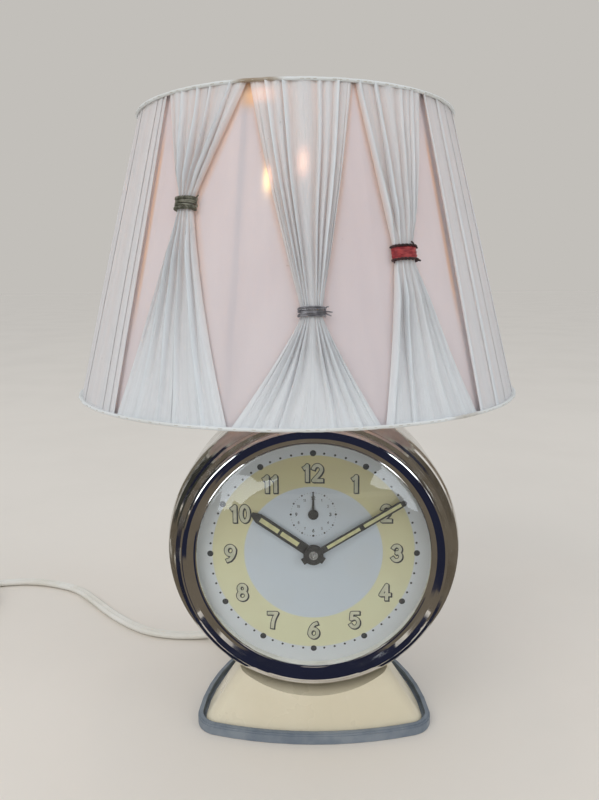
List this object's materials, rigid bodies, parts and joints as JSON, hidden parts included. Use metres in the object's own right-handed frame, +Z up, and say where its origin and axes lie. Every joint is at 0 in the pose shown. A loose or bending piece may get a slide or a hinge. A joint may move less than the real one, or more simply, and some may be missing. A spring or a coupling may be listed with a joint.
{
  "type": "alarm clock lamp",
  "caption": "Bedside lamp whose foot is a wind-up alarm clock, with a round dial in a wide metal band and a pleated cone shade tied in at the front.",
  "frame": {"origin": "on the table under the rubber tray, on the clock's middle plane and the lamp stem's depth", "axes": "+Z up, -Y out of the dial towards the viewer, +X to the viewer's right"},
  "size_m": [0.3799, 0.2274, 0.277],
  "materials": {
    "rubber": "matt blue-grey",
    "foot_paint": "gloss cream enamel",
    "steel": "plain bright steel",
    "dark_steel": "dark drawn steel",
    "case_chrome": "plated band, slightly worn",
    "bezel_chrome": "polished plated ring",
    "cover_steel": "plated pressed sheet",
    "crystal": "clear domed glass",
    "dial_ring": "white card ring",
    "dial_print": "printed white and pale yellow",
    "hand_black": "satin black",
    "lume": "pale yellow luminous paint",
    "brass": "plain brass",
    "knob_plastic": "dark brown moulding",
    "ceramic": "unglazed",
    "cap_aluminium": "plain",
    "bulb_glass": "clear",
    "filament": "glowing filament",
    "frame_wire": "white coated wire",
    "lining_cloth": "thin pinkish white lining",
    "cover_cloth": "white pleated cloth",
    "trim_cloth": "cream binding",
    "tie_braid": "dark pewter braid",
    "tie_wire": "dark grey wire",
    "tie_red": "red ribbon with dark edges",
    "lead_plastic": "white flexible plastic"
  },
  "bodies": {
    "lamp": {"rubber_tray": "rubber", "foot_shell": "foot_paint", "foot_screws": "steel", "case_shell": "case_chrome", "bezel": "bezel_chrome", "crystal": "crystal", "dial_ring": "dial_ring", "dial": "dial_print", "dial_cup": "dark_steel", "front_plate": "brass", "back_plate": "brass", "rear_cover": "cover_steel", "cover_screws": "steel", "stem_tube": "brass", "stem_collar": "brass", "stem_nut": "steel", "lampholder": "brass", "holder_insulator": "ceramic", "shade_nut": "brass", "bulb_cap": "cap_aluminium", "bulb_glass": "bulb_glass", "bulb_filament": "filament", "shade_fitter": "frame_wire", "shade_frame": "frame_wire", "shade_lining": "lining_cloth", "shade_cover": "cover_cloth", "shade_trims": "trim_cloth", "tie_left": "tie_braid", "tie_middle": "tie_wire", "tie_right": "tie_red", "strain_relief": "lead_plastic", "inner_lead": "lead_plastic", "cord": "lead_plastic", "cord_coil": "lead_plastic", "coil_tie": "lead_plastic", "plug_body": "lead_plastic", "plug_pins": "brass"},
    "hands": {"centre_arbor": "steel", "minute_hand": "hand_black", "minute_lume": "lume", "time_set_knob": "brass"},
    "minute_gear": {"minute_wheel": "brass"},
    "hour_gear": {"hour_wheel": "brass", "hour_hand": "hand_black", "hour_lume": "lume"},
    "centre_gear": {"centre_wheel": "brass"},
    "going_barrel": {"time_barrel": "brass"},
    "third_gear": {"third_wheel": "brass"},
    "escape_gear": {"escape_wheel": "brass"},
    "pallet": {"pallet_lever": "steel"},
    "balance": {"balance_wheel": "brass"},
    "alarm_setting": {"alarm_hand": "hand_black", "alarm_set_knob": "brass"},
    "time_winder": {"time_key": "steel"},
    "alarm_winder": {"alarm_key": "steel"},
    "alarm_drum": {"alarm_barrel": "brass"},
    "alarm_hammer": {"hammer": "steel"},
    "alarm_stop": {"stop_button": "knob_plastic"},
    "rate_lever": {"regulator": "steel"},
    "lamp_switch": {"switch_key": "knob_plastic"}
  },
  "joints": [
    {"name": "hands_turn", "type": "hinge", "parent": "lamp", "child": "hands", "pos_m": [0, 0, 0.0885], "axis": [0, 1, 0], "continuous": true},
    {"name": "minute_gear_turn", "type": "hinge", "parent": "lamp", "child": "minute_gear", "pos_m": [-0.0094, 0, 0.08508], "axis": [0, 1, 0], "continuous": true},
    {"name": "hour_turn", "type": "hinge", "parent": "lamp", "child": "hour_gear", "pos_m": [0, 0, 0.0885], "axis": [0, 1, 0], "continuous": true},
    {"name": "third_gear_turn", "type": "hinge", "parent": "lamp", "child": "third_gear", "pos_m": [0.01438, 0, 0.09373], "axis": [0, 1, 0], "continuous": true},
    {"name": "centre_gear_turn", "type": "hinge", "parent": "lamp", "child": "centre_gear", "pos_m": [0, 0, 0.0885], "axis": [0, 1, 0], "continuous": true},
    {"name": "going_barrel_turn", "type": "hinge", "parent": "lamp", "child": "going_barrel", "pos_m": [-0.01594, 0, 0.07815], "axis": [0, 1, 0], "continuous": true},
    {"name": "escape_gear_turn", "type": "hinge", "parent": "lamp", "child": "escape_gear", "pos_m": [0.01482, 0, 0.10633], "axis": [0, 1, 0], "continuous": true},
    {"name": "balance_swing", "type": "hinge", "parent": "lamp", "child": "balance", "pos_m": [-0.014, 0, 0.1085], "axis": [0, 1, 0], "range_deg": [-150, 150], "stiffness_Nm_per_rad": 0.00002},
    {"name": "pallet_rock", "type": "hinge", "parent": "lamp", "child": "pallet", "pos_m": [0.0067, 0, 0.111], "axis": [0, 1, 0], "range_deg": [-5, 5]},
    {"name": "alarm_set_turn", "type": "hinge", "parent": "lamp", "child": "alarm_setting", "pos_m": [0, 0, 0.1066], "axis": [0, 1, 0], "continuous": true},
    {"name": "time_key_turn", "type": "hinge", "parent": "lamp", "child": "time_winder", "pos_m": [-0.01594, 0, 0.07815], "axis": [0, 1, 0], "continuous": true},
    {"name": "alarm_key_turn", "type": "hinge", "parent": "lamp", "child": "alarm_winder", "pos_m": [0.0175, 0, 0.07815], "axis": [0, 1, 0], "continuous": true},
    {"name": "alarm_barrel_turn", "type": "hinge", "parent": "lamp", "child": "alarm_drum", "pos_m": [0.0175, 0, 0.07815], "axis": [0, 1, 0], "continuous": true},
    {"name": "hammer_swing", "type": "hinge", "parent": "lamp", "child": "alarm_hammer", "pos_m": [0.029, 0, 0.0935], "axis": [0, 1, 0], "range_deg": [-4, 0]},
    {"name": "stop_press", "type": "slide", "parent": "lamp", "child": "alarm_stop", "axis": [0, -1, 0], "range_m": [0, 0.0025]},
    {"name": "rate_lever_turn", "type": "hinge", "parent": "lamp", "child": "rate_lever", "pos_m": [-0.014, 0, 0.1085], "axis": [0, 1, 0], "range_deg": [-20, 20]},
    {"name": "switch_turn", "type": "hinge", "parent": "lamp", "child": "lamp_switch", "pos_m": [-0.007, 0, 0.1795], "axis": [0.9397, 0.342, 0], "continuous": true}
  ],
  "couplings": [
    {"joint": "minute_gear_turn", "follows": "hands_turn", "ratio": -0.33333},
    {"joint": "hour_turn", "follows": "hands_turn", "ratio": 0.083333},
    {"joint": "centre_gear_turn", "follows": "third_gear_turn", "ratio": -0.13333},
    {"joint": "going_barrel_turn", "follows": "third_gear_turn", "ratio": 0.025},
    {"joint": "escape_gear_turn", "follows": "third_gear_turn", "ratio": -8},
    {"joint": "pallet_rock", "follows": "balance_swing", "ratio": 0.033333}
  ]
}
